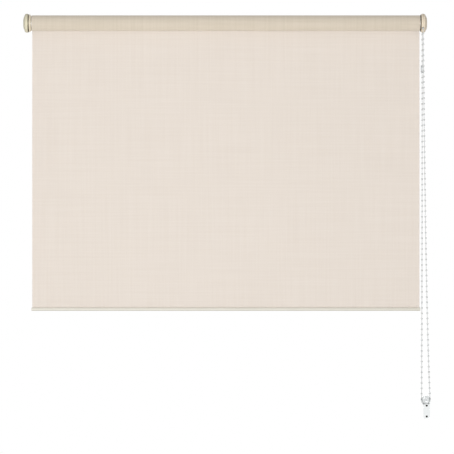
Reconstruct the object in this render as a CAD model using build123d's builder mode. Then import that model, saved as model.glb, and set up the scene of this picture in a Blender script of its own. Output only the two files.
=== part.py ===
"""A screen roller blind with a bead chain drive, face fixed to a wall.

The wall is the plane Y = 0 and the room lies towards -Y. +X is to the right and +Z is up.
The origin is midway between the two brackets, at the height of the roller's axis.
All sizes are in millimetres.
"""

import os
from math import cos, log, pi, radians, sin, sqrt

from build123d import *

os.makedirs("parts", exist_ok=True)

# Overall sizes
overall_width = 900.0
axis_to_wall = 32.0
rest_drop = 642.2
nominal_drop = 1500.0
safety_length = 118.0

# Fits
running_clearance = 0.08
press_clearance = 0.05
slide_clearance = 0.06
seat_gap = 0.3

# Brackets, pressed from sheet steel
bracket_gauge = 1.5
left_plate_radius = 19.0
right_plate_radius = 15.0
bracket_arm_height = 28.0
bracket_reach = 30.0
bracket_bend_radius = 2.2
bracket_corner_radius = 3.0
bracket_hole_radius = 2.25
bracket_hole_spacing = 17.0
bracket_hole_spread = 848.0

# Covers
cover_radius = 21.0
cover_wall = 1.3
left_cover_depth = 10.2
left_cover_skirt = 6.0
left_cover_crown = 10.4
left_cover_rounding = 12.0
right_cover_depth = 7.9
right_cover_skirt = 3.0
right_cover_crown = 12.5
right_cover_rounding = 6.0
cover_shoulder = 4.0
cover_rib_count = 3
cover_rib_width = 2.4

# Idle end
left_plate_recess = 1.3
bush_flange_radius = 7.5
bush_flange_thickness = 1.4
bush_barrel_radius = 5.5
bush_rim_chamfer = 0.4
idle_gap = 2.3
idle_flange_radius = 19.6
idle_flange_thickness = 4.7
idle_flange_edge = 0.5
idle_flange_slope = 2.6
idle_boss_radius = 6.0
idle_boss_length = 1.2
plug_length = 33.0
plug_core_radius = 10.0
plug_rib_count = 6
plug_rib_width = 2.2
pin_radius = 3.0
pin_tip_chamfer = 0.8
pin_reach = 0.4
bush_bore_clearance = 0.06
pin_collar_radius = 4.4
pin_collar_thickness = 2.0
pin_tail_radius = 1.9
pin_tail_stand_out = 2.0
pin_travel = 6.0
guide_length = 7.6
spring_room_radius = 4.7
spring_wall = 3.0
spring_wire = 0.8
spring_radius = 3.2
spring_turns = 6

# Drive end
seam_gap = 0.4
housing_rim_length = 4.2
housing_wall = 0.9
housing_cavity_radius = 18.4
housing_bore_gap = 0.2
housing_edge = 1.4
channel_width = 5.0
core_disc_thickness = 0.9
core_disc_radius = 18.8
core_seat_gap = 0.2
core_radius = 5.0
core_bore_radius = 2.6
core_length = 46.3
core_square = 11.6
core_groove_inset = 1.6
chain_slot_width = 6.4
chain_slot_top = 6.0
sprocket_width = 4.4
sprocket_radius = 15.9
sprocket_pockets = 8
sprocket_groove_width = 2.4
sleeve_radius = 7.5
sleeve_length = 8.1
sleeve_key_width = 2.4
sleeve_key_height = 0.9
sleeve_key_length = 4.0
collar_gap = 0.5
collar_radius = 19.4
collar_thickness = 1.0
adaptor_length = 35.0
adaptor_bore_radius = 6.6
adaptor_bearing_length = 4.0
adaptor_groove_width = 1.6
adaptor_groove_depth = 1.1
wrap_wire = 1.1
wrap_pitch = 1.35
wrap_turns = 4
wrap_spring_count = 2
wrap_spacing = 11.0
wrap_margin = 1.2
ring_groove_depth = 0.6
ring_thickness = 0.9
ring_outer_radius = 7.0
ring_opening = 6.0

# Tube and cloth
tube_radius = 12.5
tube_wall = 1.0
tube_key_width = 1.6
tube_key_height = 1.2
tape_thickness = 0.2
tape_width = 12.0
fabric_thickness = 0.5
left_fabric_inset = 1.3
right_fabric_inset = 1.2
lap_clearance = 0.12

# Bottom rail
rail_depth = 8.4
rail_height = 7.0
rail_corner = 2.3
rail_cavity_radius = 2.6
rail_slot_width = 1.5
rail_cap_thickness = 1.6
rail_cap_edge = 0.6
rail_cap_plug = 8.0
rod_radius = 1.75
hem_clearance = 0.05

# Bead chain and its holder on the wall
bead_radius = 2.25
bead_pitch = 12.0
bead_count = 147
bead_sides = 6
bead_flat_share = 0.45
chain_cord_radius = 0.75
pocket_clearance = 0.13
connector_radius = 3.3
connector_wall = 0.8
connector_lip = 1.0
connector_link = 8
strand_flare = 4.0
holder_x = 449.3
holder_chain_depth = 9.0
holder_turn_radius = 9.5
holder_foot_width = 14.4
holder_foot_shift = 2.5
holder_foot_thickness = 3.0
holder_flange_radius = 10.5
holder_cover_thickness = 1.8
holder_bead_room = 0.45
holder_screw_spacing = 24.4
holder_screw_drop = 12.4
holder_foot_margin = 5.4
holder_hole_radius = 1.75
holder_sink_radius = 2.6
holder_peg_radius = 3.0
holder_peg_length = 3.6
holder_foot_corner = 5.0
holder_edge = 0.6


# Places along the blind, worked out from the ends inwards
left_end = -overall_width / 2
right_end = overall_width / 2
left_mouth = left_end + left_cover_depth
left_plate_inner = left_mouth - left_plate_recess
left_plate_outer = left_plate_inner - bracket_gauge
idle_flange_outer = left_mouth + idle_gap
tube_left = idle_flange_outer + idle_flange_thickness
fabric_left = tube_left + left_fabric_inset

right_mouth = right_end - right_cover_depth
housing_outer = right_mouth - seam_gap
housing_inner = housing_outer - housing_rim_length
channel_inner = housing_inner + housing_wall
chain_x = channel_inner + channel_width / 2
core_disc_inner = channel_inner + channel_width
core_disc_outer = core_disc_inner + core_disc_thickness
right_plate_inner = core_disc_outer + core_seat_gap
right_plate_outer = right_plate_inner + bracket_gauge
collar_outer = housing_inner - collar_gap
tube_right = collar_outer - collar_thickness
fabric_right = tube_right - right_fabric_inset

tube_length = tube_right - tube_left
fabric_width = fabric_right - fabric_left
tube_bore = tube_radius - tube_wall
plug_radius = tube_bore - press_clearance
spigot_radius = cover_radius - cover_wall - press_clearance
tape_inner = tube_radius + press_clearance
tape_outer = tape_inner + tape_thickness

# The roll: what isn't hanging is wound on the tube
rail_middle = rail_height / 2 - rest_drop
wound_length = nominal_drop + safety_length - rest_drop
roll_radius = sqrt(tube_radius**2 + wound_length * fabric_thickness / pi)
under_lap_radius = roll_radius - fabric_thickness - lap_clearance
fabric_y = -axis_to_wall + roll_radius - fabric_thickness / 2

# The chain: straight links lie as chords between the sprocket's pockets
pitch_radius = bead_pitch / (2 * sin(pi / sprocket_pockets))
wrapped_links = sprocket_pockets // 2
holder_y = -holder_chain_depth
front_top = Vector(chain_x, -axis_to_wall - pitch_radius, 0)
back_top = Vector(chain_x, -axis_to_wall + pitch_radius, 0)
front_bottom = Vector(holder_x + holder_turn_radius, holder_y, 0)
back_bottom = Vector(holder_x - holder_turn_radius, holder_y, 0)
turn_length = pi * holder_turn_radius
strand_total = (bead_count - wrapped_links) * bead_pitch - turn_length
front_aside = (front_bottom - front_top).length
back_aside = (back_bottom - back_top).length
front_strand = (strand_total + (front_aside**2 - back_aside**2) / strand_total) / 2
back_strand = strand_total - front_strand
holder_z = -sqrt(front_strand**2 - front_aside**2)
front_bottom.Z = holder_z
back_bottom.Z = holder_z
upper_screw_z = holder_z - holder_screw_drop
lower_screw_z = upper_screw_z - holder_screw_spacing
holder_bottom = lower_screw_z - holder_foot_margin

roller_axis = Axis((0, -axis_to_wall, 0), (1, 0, 0))


def section_right(x):
    """A plane through the roller's axis: its x runs outwards to the right from x, its y is the radius."""
    return Plane(origin=(x, -axis_to_wall, 0), x_dir=(1, 0, 0), z_dir=(0, -1, 0))


def section_left(x):
    """The same to the left, so that its x still runs outwards."""
    return Plane(origin=(x, -axis_to_wall, 0), x_dir=(-1, 0, 0), z_dir=(0, 1, 0))


def across(x, y=-axis_to_wall, z=0.0):
    """A plane square to the roller, facing +X: its x is the wall direction +Y and its y is +Z."""
    return Plane(origin=(x, y, z), x_dir=(0, 1, 0), z_dir=(1, 0, 0))


def finish(builder, name):
    """Name a finished piece and write its file."""
    builder.part.label = name
    export_step(builder.part, f"parts/{name}.step")


def ring_band(start, end, inner, outer, mode=Mode.ADD):
    """A band of the open sketch, from start to end along the axis and from inner to outer radius."""
    with Locations(((start + end) / 2, (inner + outer) / 2)):
        Rectangle(end - start, outer - inner, mode=mode)


def cup_section(depth, skirt, crown, rounding):
    """Half a cover's section, from its mouth: straight skirt, sloping shoulder, flat crown, then its hollow."""
    radius = cover_radius
    inner = cover_radius - cover_wall
    inner_skirt = skirt - cover_wall / 2
    inner_crown = crown - cover_wall / 2
    inner_depth = depth - cover_wall
    outside = [(0, 0), (0, radius), (skirt, radius), (depth, crown), (depth, 0)]
    hollow = [(0, 0), (0, inner), (inner_skirt, inner), (inner_depth, inner_crown), (inner_depth, 0)]
    with BuildSketch(mode=Mode.PRIVATE) as half:
        with BuildLine():
            Polyline(*outside, close=True)
        make_face()
        fillet(half.vertices().sort_by_distance((skirt, radius))[0], cover_shoulder)
        fillet(half.vertices().sort_by_distance((depth, crown))[0], rounding)
        with BuildLine():
            Polyline(*hollow, close=True)
        make_face(mode=Mode.SUBTRACT)
    add(half.sketch)


def press_bracket(plate_inner, plate_radius, side):
    """Draw one bent steel bracket in the open part. side is -1 at the left end and 1 at the right."""
    plate_outer = plate_inner + side * bracket_gauge
    with BuildSketch(across(min(plate_inner, plate_outer))) as plate:
        Circle(plate_radius)
        with Locations((axis_to_wall / 2, 0)):
            Rectangle(axis_to_wall, bracket_arm_height)
    extrude(plate.sketch, amount=bracket_gauge)
    with BuildSketch(Plane.XZ) as foot:
        with Locations((plate_outer - side * bracket_reach / 2, 0)):
            Rectangle(bracket_reach, bracket_arm_height)
        tips = foot.vertices().group_by(Axis.X)[-1 if side < 0 else 0]
        fillet(tips, bracket_corner_radius)
        with Locations((side * bracket_hole_spread / 2, 0)):
            with GridLocations(0, bracket_hole_spacing, 1, 2):
                Circle(bracket_hole_radius, mode=Mode.SUBTRACT)
    extrude(foot.sketch, amount=bracket_gauge)


def bend_edge(part, plate_outer):
    """The outside edge of a bracket's bend, at the wall."""
    corner = Vector(plate_outer, 0, 0)
    return part.edges().filter_by(Axis.Z).sort_by_distance(corner)[0]


def cut_arm_notch(mouth, far_side):
    """Open the back of a cover's skirt where the bracket's arm passes out to the wall."""
    height = bracket_arm_height + 2 * seat_gap
    reach = far_side - mouth
    with BuildSketch(Plane.XZ.offset(axis_to_wall)) as notch:
        with Locations((mouth + reach / 2, 0)):
            Rectangle(abs(reach), height)
    extrude(notch.sketch, amount=-cover_radius - seat_gap, mode=Mode.SUBTRACT)


def strand_point(top, bottom, share):
    """A point of a hanging strand: it is steepest at the top, where it carries most of its own weight."""
    aside = log(1 + strand_flare * (1 - share)) / log(1 + strand_flare)
    point = bottom + (top - bottom) * aside
    return Vector(point.X, point.Y, top.Z + (bottom.Z - top.Z) * share)


def cut_chain_slots(start, end):
    """Open the underside of a round shell, between two places along the axis, for both strands."""
    with BuildSketch(Plane.XY.offset(-chain_slot_top)) as slots:
        for top, bottom in ((front_top, front_bottom), (back_top, back_bottom)):
            exit_point = strand_point(top, bottom, housing_cavity_radius / -bottom.Z)
            with Locations(((start + end) / 2, exit_point.Y)):
                Rectangle(end - start, chain_slot_width)
    extrude(slots.sketch, amount=-cover_radius, mode=Mode.SUBTRACT)


def wheel_point(angle):
    """A bead's place on the sprocket. The angle starts at the front and runs over the top."""
    return (
        chain_x,
        -axis_to_wall - pitch_radius * cos(radians(angle)),
        pitch_radius * sin(radians(angle)),
    )


def plug_ribs():
    """Draw the ribs that fill the tube's bore round a plug, with two jaws beside the tube's key."""
    rib_height = plug_radius - plug_core_radius
    with PolarLocations(plug_core_radius, plug_rib_count):
        Rectangle(2 * rib_height, plug_rib_width)
    jaw_place = tube_key_width / 2 + press_clearance + plug_rib_width / 2
    with Locations((jaw_place, -plug_core_radius), (-jaw_place, -plug_core_radius)):
        Rectangle(plug_rib_width, 2 * rib_height - press_clearance)
    Circle(plug_core_radius - rib_height, mode=Mode.SUBTRACT)
    Circle(plug_radius, mode=Mode.INTERSECT)


def coil_plane(coil, start):
    """A plane square to a coil at its first point, with its x pointing away from the axis."""
    return Plane(coil @ 0, x_dir=(coil @ 0) - Vector(*start), z_dir=coil % 0)


# The left bracket, with a round hole for its bush
with BuildPart() as left_bracket:
    press_bracket(left_plate_inner, left_plate_radius, -1)
    fillet(bend_edge(left_bracket, left_plate_outer), bracket_bend_radius)
    with BuildSketch(across(left_plate_outer)):
        Circle(bush_barrel_radius + press_clearance)
    extrude(amount=bracket_gauge, mode=Mode.SUBTRACT)
finish(left_bracket, "left_bracket")

# The right bracket, with a square hole that keeps the drive from turning
with BuildPart() as right_bracket:
    press_bracket(right_plate_inner, right_plate_radius, 1)
    fillet(bend_edge(right_bracket, right_plate_outer), bracket_bend_radius)
    with BuildSketch(across(right_plate_inner)):
        Rectangle(core_square + 2 * press_clearance, core_square + 2 * press_clearance)
    extrude(amount=bracket_gauge, mode=Mode.SUBTRACT)
finish(right_bracket, "right_bracket")

# The left cover, a deep dome whose ribs clip over the bracket's plate
with BuildPart() as left_cover:
    with BuildSketch(section_left(left_mouth)):
        cup_section(left_cover_depth, left_cover_skirt, left_cover_crown, left_cover_rounding)
    revolve(axis=roller_axis)
    cut_arm_notch(left_mouth, left_plate_outer - seat_gap)
    rib_inner = left_plate_radius + press_clearance
    rib_outer = cover_radius - cover_wall / 2
    with BuildSketch(across(left_plate_outer)):
        with PolarLocations((rib_inner + rib_outer) / 2, cover_rib_count, 60):
            Rectangle(rib_outer - rib_inner, cover_rib_width)
    extrude(amount=bracket_gauge)
finish(left_cover, "left_cover")

# The right cover, shallower and flatter, with slots below for the two strands of the chain
with BuildPart() as right_cover:
    with BuildSketch(section_right(right_mouth)):
        cup_section(right_cover_depth, right_cover_skirt, right_cover_crown, right_cover_rounding)
    revolve(axis=roller_axis)
    cut_arm_notch(right_mouth, right_plate_outer + seat_gap)
    cut_chain_slots(right_mouth, core_disc_inner)
finish(right_cover, "right_cover")

# The bush that carries the idle pin, pressed into the left bracket from inside
with BuildPart() as bracket_bush:
    with BuildSketch(section_left(left_plate_inner)):
        ring_band(-bush_flange_thickness, 0, pin_radius, bush_flange_radius)
        ring_band(0, bracket_gauge, pin_radius, bush_barrel_radius)
        ring_band(
            -bush_flange_thickness,
            bracket_gauge,
            pin_radius,
            pin_radius + bush_bore_clearance,
            mode=Mode.SUBTRACT,
        )
    revolve(axis=roller_axis)
    rim = bracket_bush.edges().group_by(Axis.X)[-1].sort_by(SortBy.RADIUS)[-1]
    chamfer(rim, bush_rim_chamfer)
finish(bracket_bush, "bracket_bush")

# The chain housing, a round box open outwards, with two slots below for the chain
with BuildPart() as chain_housing:
    with BuildSketch(section_right(housing_inner)) as housing_section:
        ring_band(0, housing_wall, sleeve_radius + housing_bore_gap, cover_radius)
        ring_band(housing_wall, housing_rim_length, housing_cavity_radius, cover_radius)
        ring_band(
            housing_rim_length,
            housing_wall + channel_width,
            housing_cavity_radius,
            spigot_radius,
        )
        shoulder = housing_section.vertices().group_by(Axis.Y)[-1].sort_by(Axis.X)[0]
        chamfer(shoulder, housing_edge)
    revolve(axis=roller_axis)
    cut_chain_slots(channel_inner, core_disc_inner)
finish(chain_housing, "chain_housing")

# The fixed core of the drive: closing disc, hollow shaft and the square that locks in the bracket
with BuildPart() as drive_core:
    with BuildSketch(section_right(core_disc_inner)):
        ring_band(0, core_disc_thickness, core_bore_radius, core_disc_radius)
        ring_band(-core_length, 0, core_bore_radius, core_radius)
        ring_band(
            core_groove_inset - core_length,
            core_groove_inset + ring_thickness + press_clearance - core_length,
            core_radius - ring_groove_depth,
            core_radius,
            mode=Mode.SUBTRACT,
        )
    revolve(axis=roller_axis)
    with BuildSketch(across(core_disc_outer)):
        Rectangle(core_square, core_square)
        Circle(core_bore_radius, mode=Mode.SUBTRACT)
    extrude(amount=core_seat_gap + bracket_gauge)
finish(drive_core, "drive_core")

# The sprocket: a ball pocket for each bead, a groove for the cord, and a keyed sleeve
sleeve_bore = core_radius + running_clearance
sleeve_end = chain_x - sprocket_width / 2 - sleeve_length
cord_groove_radius = pitch_radius * cos(pi / sprocket_pockets) - chain_cord_radius - pocket_clearance
with BuildPart() as sprocket:
    with BuildSketch(section_right(chain_x)):
        ring_band(-sprocket_width / 2, sprocket_width / 2, sleeve_bore, sprocket_radius)
        ring_band(sleeve_end - chain_x, 0, sleeve_bore, sleeve_radius)
        ring_band(
            -sprocket_groove_width / 2,
            sprocket_groove_width / 2,
            cord_groove_radius,
            sprocket_radius,
            mode=Mode.SUBTRACT,
        )
    revolve(axis=roller_axis)
    with BuildSketch(across(sleeve_end)):
        with PolarLocations(sleeve_radius, 2):
            Rectangle(2 * sleeve_key_height, sleeve_key_width)
        Circle(sleeve_radius - sleeve_key_height, mode=Mode.SUBTRACT)
    extrude(amount=sleeve_key_length)
    pocket_angles = [360 * k / sprocket_pockets for k in range(sprocket_pockets)]
    with Locations(*[wheel_point(angle) for angle in pocket_angles]):
        Sphere(bead_radius + pocket_clearance, mode=Mode.SUBTRACT)
finish(sprocket, "sprocket")

# The drive adaptor, a ribbed sleeve that turns the tube and houses the wrap springs
adaptor_end = collar_outer - adaptor_length
sleeve_room = sleeve_end - seat_gap - adaptor_end
groove_top = adaptor_bore_radius + adaptor_groove_depth
with BuildPart() as drive_adaptor:
    with BuildSketch(section_right(adaptor_end)):
        ring_band(0, adaptor_length, sleeve_bore, plug_core_radius)
        ring_band(adaptor_length - collar_thickness, adaptor_length, sleeve_bore, collar_radius)
        ring_band(
            adaptor_bearing_length,
            adaptor_length,
            sleeve_bore,
            adaptor_bore_radius,
            mode=Mode.SUBTRACT,
        )
        ring_band(
            sleeve_room,
            adaptor_length,
            adaptor_bore_radius,
            sleeve_radius + press_clearance,
            mode=Mode.SUBTRACT,
        )
    revolve(axis=roller_axis)
    with BuildSketch(across(adaptor_end)) as adaptor_ribs:
        plug_ribs()
    extrude(adaptor_ribs.sketch, amount=adaptor_length - collar_thickness)
    with BuildSketch(across(adaptor_end + adaptor_bearing_length)):
        with Locations((0, groove_top / 2)):
            Rectangle(adaptor_groove_width, groove_top)
    extrude(amount=sleeve_room - adaptor_bearing_length, mode=Mode.SUBTRACT)
    with BuildSketch(across(adaptor_end + sleeve_room)):
        with PolarLocations(sleeve_radius, 2):
            Rectangle(
                2 * (sleeve_key_height + press_clearance),
                sleeve_key_width + 2 * press_clearance,
            )
    extrude(amount=adaptor_length - sleeve_room, mode=Mode.SUBTRACT)
finish(drive_adaptor, "drive_adaptor")

# The wrap springs, wound close on the core, each with a tang in the adaptor's groove
wrap_radius = core_radius + running_clearance + wrap_wire / 2
first_spring_x = adaptor_end + adaptor_bearing_length + wrap_margin
with BuildPart() as clutch_springs:
    for index in range(wrap_spring_count):
        start = (first_spring_x + index * wrap_spacing, -axis_to_wall, 0)
        with BuildLine() as coil:
            Helix(wrap_pitch, wrap_pitch * wrap_turns, wrap_radius, start, (1, 0, 0))
        wire_plane = coil_plane(coil.line, start)
        with BuildSketch(wire_plane) as wire:
            Rectangle(wrap_wire, wrap_wire)
        sweep(wire.sketch, path=coil.line, is_frenet=True)
finish(clutch_springs, "clutch_springs")

# The open ring that keeps the adaptor on the core
with BuildPart() as retaining_ring:
    with BuildSketch(across(core_disc_inner - core_length + core_groove_inset)):
        Circle(ring_outer_radius)
        Circle(core_radius - ring_groove_depth + press_clearance, mode=Mode.SUBTRACT)
        with Locations((0, -ring_outer_radius)):
            Rectangle(ring_opening, 2 * ring_outer_radius, mode=Mode.SUBTRACT)
    extrude(amount=ring_thickness)
finish(retaining_ring, "retaining_ring")

# The aluminium tube, with a key inside for the two plugs
with BuildPart() as tube:
    with BuildSketch(across(tube_left)):
        Circle(tube_radius)
        Circle(tube_bore, mode=Mode.SUBTRACT)
        with Locations((0, -tube_bore + tube_key_height / 2 - tube_wall / 4)):
            Rectangle(tube_key_width, tube_key_height + tube_wall / 2)
    extrude(amount=tube_length)
finish(tube, "tube")

# The adhesive tape that holds the cloth's first edge to the tube
with BuildPart() as fixing_tape:
    with BuildSketch(across(fabric_left)):
        Circle(tape_outer)
        Circle(tape_inner, mode=Mode.SUBTRACT)
        with Locations((-tube_radius, 0)):
            Rectangle(2 * tube_radius, tape_width, mode=Mode.INTERSECT)
    extrude(amount=fabric_width)
finish(fixing_tape, "fixing_tape")


def turn_point(angle):
    """A point of the roll's outer turn. It steps in by one thickness on the way round from the back."""
    radius = roll_radius - (roll_radius - under_lap_radius) * angle / 360
    return (radius * cos(radians(angle)), radius * sin(radians(angle)))


# The wound cloth, one spiral roll with the step of its last turn at the back
with BuildPart() as wound_fabric:
    with BuildSketch(across(fabric_left)):
        with BuildLine():
            for quarter in range(4):
                ThreePointArc(
                    turn_point(90 * quarter),
                    turn_point(90 * quarter + 45),
                    turn_point(90 * quarter + 90),
                )
            Line(turn_point(360), turn_point(0))
        make_face()
        Circle(tape_outer + press_clearance, mode=Mode.SUBTRACT)
    extrude(amount=fabric_width)
finish(wound_fabric, "wound_fabric")

# The hanging cloth, down from the back of the roll and once round the rod in the rail
hem_inner = rod_radius + hem_clearance
with BuildPart() as screen_fabric:
    with BuildSketch(across(fabric_left, fabric_y, 0)):
        drop = -seat_gap - (rail_middle + hem_inner)
        with Locations((0, -seat_gap - drop / 2)):
            Rectangle(fabric_thickness, drop)
        with Locations((0, rail_middle)):
            Circle(hem_inner + fabric_thickness)
            Circle(hem_inner, mode=Mode.SUBTRACT)
    extrude(amount=fabric_width)
finish(screen_fabric, "screen_fabric")

# The bottom rail, an aluminium section with a slot along its top
with BuildPart() as bottom_rail:
    with BuildSketch(across(fabric_left, fabric_y, rail_middle)):
        RectangleRounded(rail_depth, rail_height, rail_corner)
        Circle(rail_cavity_radius, mode=Mode.SUBTRACT)
        with Locations((0, rail_height / 2)):
            Rectangle(rail_slot_width, rail_height, mode=Mode.SUBTRACT)
    extrude(amount=fabric_width)
finish(bottom_rail, "bottom_rail")

# The rod that locks the hem in the rail
with BuildPart() as hem_rod:
    with BuildSketch(across(fabric_left + rail_cap_plug, fabric_y, rail_middle)):
        Circle(rod_radius)
    extrude(amount=fabric_width - 2 * rail_cap_plug)
finish(hem_rod, "hem_rod")


def rail_cap(x, side):
    """One end cap of the rail, with a peg inside the hem."""
    with BuildPart() as cap:
        with BuildSketch(across(x, fabric_y, rail_middle)):
            RectangleRounded(rail_depth, rail_height, rail_corner)
        extrude(amount=side * rail_cap_thickness)
        far_edges = cap.edges().group_by(Axis.X)[-1 if side > 0 else 0]
        chamfer(far_edges, rail_cap_edge)
        with BuildSketch(across(x, fabric_y, rail_middle)):
            Circle(rod_radius)
        extrude(amount=-side * (rail_cap_plug - seat_gap))
    return cap


finish(rail_cap(fabric_left, -1), "rail_cap_left")
finish(rail_cap(fabric_right, 1), "rail_cap_right")

# The idle plug: a flange against the tube's end, ribs in its bore and a guide for the pin
plug_depth = idle_flange_thickness + plug_length
spring_start = guide_length - idle_boss_length
with BuildPart() as idle_plug:
    with BuildSketch(section_left(idle_flange_outer)) as plug_section:
        ring_band(-idle_flange_thickness, 0, pin_radius, idle_flange_radius)
        cap_side = (0, idle_flange_radius)
        roll_side = (-idle_flange_thickness, idle_flange_radius)
        chamfer(plug_section.vertices().sort_by_distance(cap_side)[0], idle_flange_edge)
        chamfer(plug_section.vertices().sort_by_distance(roll_side)[0], idle_flange_slope)
        ring_band(0, idle_boss_length, pin_radius, idle_boss_radius)
        ring_band(-plug_depth, -idle_flange_thickness, pin_tail_radius, plug_core_radius)
        ring_band(-plug_depth, idle_boss_length, 0, pin_tail_radius + slide_clearance, Mode.SUBTRACT)
        ring_band(-spring_start, idle_boss_length, 0, pin_radius + slide_clearance, Mode.SUBTRACT)
        ring_band(spring_wall - plug_depth, -spring_start, 0, spring_room_radius, Mode.SUBTRACT)
    revolve(axis=roller_axis)
    with BuildSketch(across(tube_left)) as idle_ribs:
        plug_ribs()
    extrude(idle_ribs.sketch, amount=plug_length)
finish(idle_plug, "idle_plug")

# The idle pin, pushed outwards by its spring until its collar stops inside the plug
collar_start = spring_start + seat_gap
tail_end = plug_depth + pin_tail_stand_out
pin_tip = left_plate_outer - pin_reach
with BuildPart() as idle_pin:
    with BuildSketch(section_left(idle_flange_outer)) as pin_section:
        ring_band(-collar_start, idle_flange_outer - pin_tip, 0, pin_radius)
        tip_corner = pin_section.vertices().group_by(Axis.X)[-1].sort_by(Axis.Y)[-1]
        chamfer(tip_corner, pin_tip_chamfer)
        ring_band(-collar_start - pin_collar_thickness, -collar_start, 0, pin_collar_radius)
        ring_band(-tail_end, -collar_start - pin_collar_thickness, 0, pin_tail_radius)
    revolve(axis=roller_axis)
finish(idle_pin, "idle_pin")

# The pin's compression spring, between its collar and the plug's inner wall
spring_left = idle_flange_outer + collar_start + pin_collar_thickness + spring_wire
spring_right = idle_flange_outer + plug_depth - spring_wall - spring_wire
with BuildPart() as pin_spring:
    start = (spring_left, -axis_to_wall, 0)
    spring_length = spring_right - spring_left
    with BuildLine() as coil:
        Helix(spring_length / spring_turns, spring_length, spring_radius, start, (1, 0, 0))
    with BuildSketch(coil_plane(coil.line, start)) as wire:
        Rectangle(spring_wire, spring_wire)
    sweep(wire.sketch, path=coil.line, is_frenet=True)
finish(pin_spring, "pin_spring")

# The holder's foot for the wall, with the drum that the chain turns round
bead_reach = bead_radius + holder_bead_room
holder_face = holder_chain_depth - bead_reach
holder_front = holder_chain_depth + bead_reach
drum_radius = holder_turn_radius - bead_reach
foot_height = holder_z - holder_bottom
foot_x = holder_x + holder_foot_shift
screw_places = [(foot_x, upper_screw_z), (foot_x, lower_screw_z)]
with BuildPart() as holder_foot:
    with BuildSketch(Plane.XZ) as foot_outline:
        with Locations((foot_x, holder_z - foot_height / 2)):
            Rectangle(holder_foot_width, foot_height)
        fillet(foot_outline.vertices().group_by(Axis.Y)[0], holder_foot_corner)
    extrude(amount=holder_foot_thickness)
    with BuildSketch(Plane.XZ):
        with Locations((holder_x, holder_z)):
            Circle(holder_flange_radius)
    extrude(amount=holder_face)
    with BuildSketch(Plane.XZ.offset(holder_face)):
        with Locations((holder_x, holder_z)):
            Circle(drum_radius)
    extrude(amount=holder_front - holder_face)
    with Locations(*[Plane.XZ.offset(holder_front) * Location((holder_x, holder_z, 0))]):
        Hole(holder_peg_radius + press_clearance, holder_peg_length + seat_gap)
    with Locations(*[Plane.XZ.offset(holder_foot_thickness) * Location((x, z, 0)) for x, z in screw_places]):
        CounterSinkHole(holder_hole_radius, holder_sink_radius, holder_foot_thickness)
finish(holder_foot, "holder_foot")

# The holder's front, a round flange that keeps the chain on the drum, with a hood over its foot
with BuildPart() as holder_front_flange:
    with BuildSketch(Plane.XZ.offset(holder_front)):
        with Locations((holder_x, holder_z)):
            Circle(holder_flange_radius)
    extrude(amount=holder_cover_thickness)
    with BuildSketch(Plane.XZ.offset(holder_front)):
        with Locations((holder_x, holder_z)):
            Circle(holder_peg_radius)
    extrude(amount=-holder_peg_length)
    rims = holder_front_flange.edges().group_by(Axis.Y)[0]
    chamfer(rims, holder_edge)
finish(holder_front_flange, "holder_cap")


def chain_point(travel):
    """The chain's centre line below the sprocket, down the front strand, round the drum and up the back."""
    if travel <= front_strand:
        return strand_point(front_top, front_bottom, travel / front_strand)
    travel -= front_strand
    if travel <= turn_length:
        turned = travel / holder_turn_radius
        return Vector(
            holder_x + holder_turn_radius * cos(turned),
            holder_y,
            holder_z - holder_turn_radius * sin(turned),
        )
    travel -= turn_length
    return strand_point(back_top, back_bottom, 1 - travel / back_strand)


# Every bead of the loop in order: over the sprocket from back to front, then down, round and up again
loop = [Vector(*wheel_point(180 - 360 * k / sprocket_pockets)) for k in range(wrapped_links)]
loop += [chain_point(bead_pitch * k) for k in range(bead_count - wrapped_links)]

# The loop is cut in one link, which the connector bridges
first = bead_count - connector_link
beads = loop[first:] + loop[:first]
bead_flat = bead_radius * bead_flat_share
bead_end = sqrt(bead_radius**2 - chain_cord_radius**2)
profile = [
    (-bead_end, chain_cord_radius),
    (-bead_flat, sqrt(bead_radius**2 - bead_flat**2)),
    (bead_flat, sqrt(bead_radius**2 - bead_flat**2)),
    (bead_end, chain_cord_radius),
]
with BuildPart() as bead_chain:
    side = Vector(1, 0, 0)
    for index, bead in enumerate(beads):
        before = beads[max(index - 1, 0)]
        after = beads[min(index + 1, len(beads) - 1)]
        along = (after - before).normalized()
        side = (side - along * side.dot(along)).normalized()
        for place, radius in profile:
            with BuildSketch(Plane(bead + along * place, x_dir=side, z_dir=along)):
                RegularPolygon(radius, bead_sides)
    loft(ruled=True, clean=False)
finish(bead_chain, "bead_chain")

# The connector, a clear barrel over the two end beads
joint_middle = (beads[0] + beads[-1]) / 2
joint_along = (beads[0] - beads[-1]).normalized()
barrel_half = bead_pitch / 2 + bead_radius + connector_wall
barrel_bore = connector_radius - connector_wall
barrel_plane = Plane(joint_middle, x_dir=joint_along, z_dir=(1, 0, 0))
with BuildPart() as chain_connector:
    with BuildSketch(barrel_plane):
        ring_band(-barrel_half, barrel_half, 0, connector_radius)
        ring_band(connector_wall - barrel_half, barrel_half - connector_wall, 0, barrel_bore, Mode.SUBTRACT)
        ring_band(-barrel_half, barrel_half, 0, connector_lip, Mode.SUBTRACT)
    revolve(axis=Axis(joint_middle, joint_along))
finish(chain_connector, "chain_connector")

loop_length = bead_count * bead_pitch
print("roll radius", round(roll_radius, 3), "wound length", wound_length)
print("chain x", chain_x, "drum height", round(holder_z, 2), "loop", loop_length)
print("strands", round(front_strand, 2), round(back_strand, 2))
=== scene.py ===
# %% [markdown]
# # A screen roller blind
# The CAD model gives every rigid piece its place and true form. This script dresses it: it gives each
# rigid piece the finish of its real material, a few darkened as painted shade, and makes new pieces where
# the CAD form is only a plain stand-in, which here are the cloth, its roll, the bead chain and the pin's
# spring. It adds the screws, which the CAD model leaves out, and a dark ring of painted shade in the gap
# at the left end.

from math import cos, log, pi, radians, sin, sqrt, tau

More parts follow.
